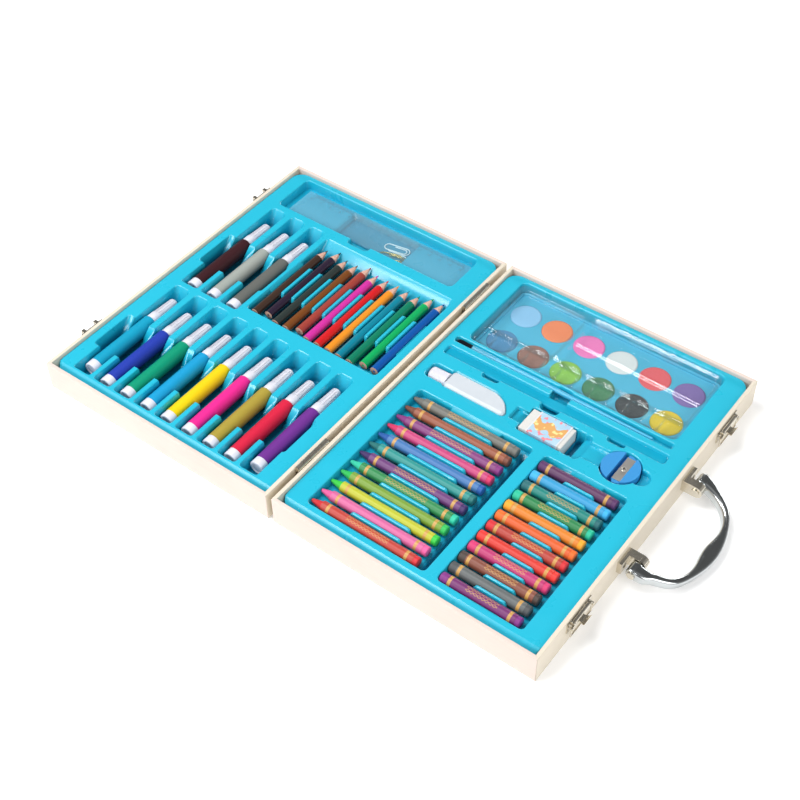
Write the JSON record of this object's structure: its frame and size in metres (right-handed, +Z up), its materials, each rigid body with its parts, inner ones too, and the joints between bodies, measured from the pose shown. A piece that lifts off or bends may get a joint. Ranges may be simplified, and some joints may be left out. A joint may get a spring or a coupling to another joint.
{
  "type": "art set case",
  "caption": "Flat wooden case that opens on two hinges to show formed inserts with markers, pencils, crayons, oil pastels, paints and tools; it has latches and a carrying handle.",
  "frame": {"origin": "middle of the base half's underside, on the surface that the open case lies on", "axes": "+X from the hinge towards the carrying handle, +Y along the hinge, +Z up"},
  "size_m": [0.4756, 0.288, 0.0262],
  "materials": {
    "cream_board": "painted, satin",
    "panel_board": "painted, satin",
    "blue_sheet": "vacuum formed, glossy",
    "nickel": "nickel plated",
    "chrome": "polished",
    "marker_barrel": "moulded, mixed colours",
    "white_plastic": "moulded",
    "felt": "felt",
    "pencil_wood": "lacquered, mixed colours",
    "pencil_lead": "coloured lead",
    "clear_sheet": "clear plastic",
    "clip_wire": "plated and coated wire",
    "crayon_wax": "wax, mixed colours",
    "crayon_paper": "printed paper, mixed colours",
    "pastel_wax": "oily, mixed colours",
    "pastel_paper": "printed paper, mixed colours",
    "palette_plastic": "moulded",
    "paint_cake": "pressed watercolour, mixed colours",
    "brush_plastic": "moulded",
    "brush_hair": "nylon hair",
    "eraser_rubber": "soft",
    "sleeve_card": "printed",
    "sharpener_plastic": "moulded",
    "steel": "ground"
  },
  "bodies": {
    "base": {"base_bottom_panel": "panel_board", "base_front_board": "cream_board", "base_back_board": "cream_board", "base_near_board": "cream_board", "base_far_board": "cream_board", "base_tray": "blue_sheet", "base_wood_screws": "nickel", "hinge_near_base_leaf": "nickel", "hinge_far_base_leaf": "nickel", "hinge_pins": "nickel", "handle_bracket_near": "nickel", "handle_bracket_far": "nickel", "handle_pins": "nickel", "latch_near_plate": "nickel", "latch_far_plate": "nickel", "latch_pins": "nickel"},
    "lid": {"lid_top_panel": "panel_board", "lid_front_board": "cream_board", "lid_back_board": "cream_board", "lid_near_board": "cream_board", "lid_far_board": "cream_board", "lid_tray": "blue_sheet", "lid_wood_screws": "nickel", "hinge_near_lid_leaf": "nickel", "hinge_far_lid_leaf": "nickel", "lid_catch_near": "nickel", "lid_catch_far": "nickel", "paper_clips": "clip_wire"},
    "handle": {"handle": "chrome"},
    "latch_near_lever": {"latch_near_lever": "nickel"},
    "latch_far_lever": {"latch_far_lever": "nickel"},
    "latch_near_bail": {"latch_near_bail": "nickel"},
    "latch_far_bail": {"latch_far_bail": "nickel"},
    "markers": {"marker_barrels": "marker_barrel", "marker_plugs": "white_plastic", "marker_caps": "white_plastic", "marker_nibs": "felt", "marker_ink_cores": "felt"},
    "pencils": {"pencil_casings": "pencil_wood", "pencil_leads": "pencil_lead"},
    "ruler": {"ruler": "clear_sheet"},
    "crayons": {"crayon_sticks": "crayon_wax", "crayon_wrappers": "crayon_paper"},
    "oil_pastels": {"oil_pastel_sticks": "pastel_wax", "oil_pastel_wrappers": "pastel_paper"},
    "palette": {"paint_palette": "palette_plastic", "paint_pans": "paint_cake"},
    "palette_cover": {"palette_cover": "clear_sheet"},
    "brush": {"brush_handle": "brush_plastic", "brush_ferrule": "clear_sheet", "brush_bristles": "brush_hair"},
    "mixing_stick": {"mixing_stick": "palette_plastic"},
    "glue": {"glue_bottle": "white_plastic", "glue_cap": "white_plastic"},
    "eraser": {"eraser": "eraser_rubber", "eraser_sleeve": "sleeve_card"},
    "sharpener": {"sharpener_body": "sharpener_plastic", "sharpener_blade": "steel", "sharpener_screw": "steel"}
  },
  "joints": [
    {"name": "lid_hinge", "type": "hinge", "parent": "base", "child": "lid", "pos_m": [-0.1072, 0, 0.02415], "axis": [0, -1, 0], "range_deg": [-180, 0]},
    {"name": "handle_swing", "type": "hinge", "parent": "base", "child": "handle", "pos_m": [0.1155, 0, 0.0145], "axis": [0, -1, 0], "range_deg": [-73.42, 106.58]},
    {"name": "latch_near_lever_swing", "type": "hinge", "parent": "base", "child": "latch_near_lever", "pos_m": [0.107, -0.097, 0.0206], "axis": [0, -1, 0], "range_deg": [0, 120]},
    {"name": "latch_near_bail_swing", "type": "hinge", "parent": "latch_near_lever", "child": "latch_near_bail", "pos_m": [0.1076, -0.097, 0.0178], "axis": [0, 1, 0], "range_deg": [-180, 0]},
    {"name": "latch_far_lever_swing", "type": "hinge", "parent": "base", "child": "latch_far_lever", "pos_m": [0.107, 0.097, 0.0206], "axis": [0, -1, 0], "range_deg": [0, 120]},
    {"name": "latch_far_bail_swing", "type": "hinge", "parent": "latch_far_lever", "child": "latch_far_bail", "pos_m": [0.1076, 0.097, 0.0178], "axis": [0, 1, 0], "range_deg": [-180, 0]},
    {"name": "markers_lift", "type": "slide", "parent": "lid", "child": "markers", "axis": [0, 0, 1], "range_m": [0, 0.03]},
    {"name": "pencils_lift", "type": "slide", "parent": "lid", "child": "pencils", "axis": [0, 0, 1], "range_m": [0, 0.03]},
    {"name": "ruler_lift", "type": "slide", "parent": "lid", "child": "ruler", "axis": [0, 0, 1], "range_m": [0, 0.03]},
    {"name": "crayons_lift", "type": "slide", "parent": "base", "child": "crayons", "axis": [0, 0, 1], "range_m": [0, 0.03]},
    {"name": "oil_pastels_lift", "type": "slide", "parent": "base", "child": "oil_pastels", "axis": [0, 0, 1], "range_m": [0, 0.03]},
    {"name": "palette_lift", "type": "slide", "parent": "base", "child": "palette", "axis": [0, 0, 1], "range_m": [0, 0.03]},
    {"name": "brush_lift", "type": "slide", "parent": "base", "child": "brush", "axis": [0, 0, 1], "range_m": [0, 0.03]},
    {"name": "mixing_stick_lift", "type": "slide", "parent": "base", "child": "mixing_stick", "axis": [0, 0, 1], "range_m": [0, 0.03]},
    {"name": "glue_lift", "type": "slide", "parent": "base", "child": "glue", "axis": [0, 0, 1], "range_m": [0, 0.03]},
    {"name": "eraser_lift", "type": "slide", "parent": "base", "child": "eraser", "axis": [0, 0, 1], "range_m": [0, 0.03]},
    {"name": "sharpener_lift", "type": "slide", "parent": "base", "child": "sharpener", "axis": [0, 0, 1], "range_m": [0, 0.03]},
    {"name": "palette_cover_lift", "type": "slide", "parent": "palette", "child": "palette_cover", "axis": [0, 0, 1], "range_m": [0, 0.03]}
  ]
}
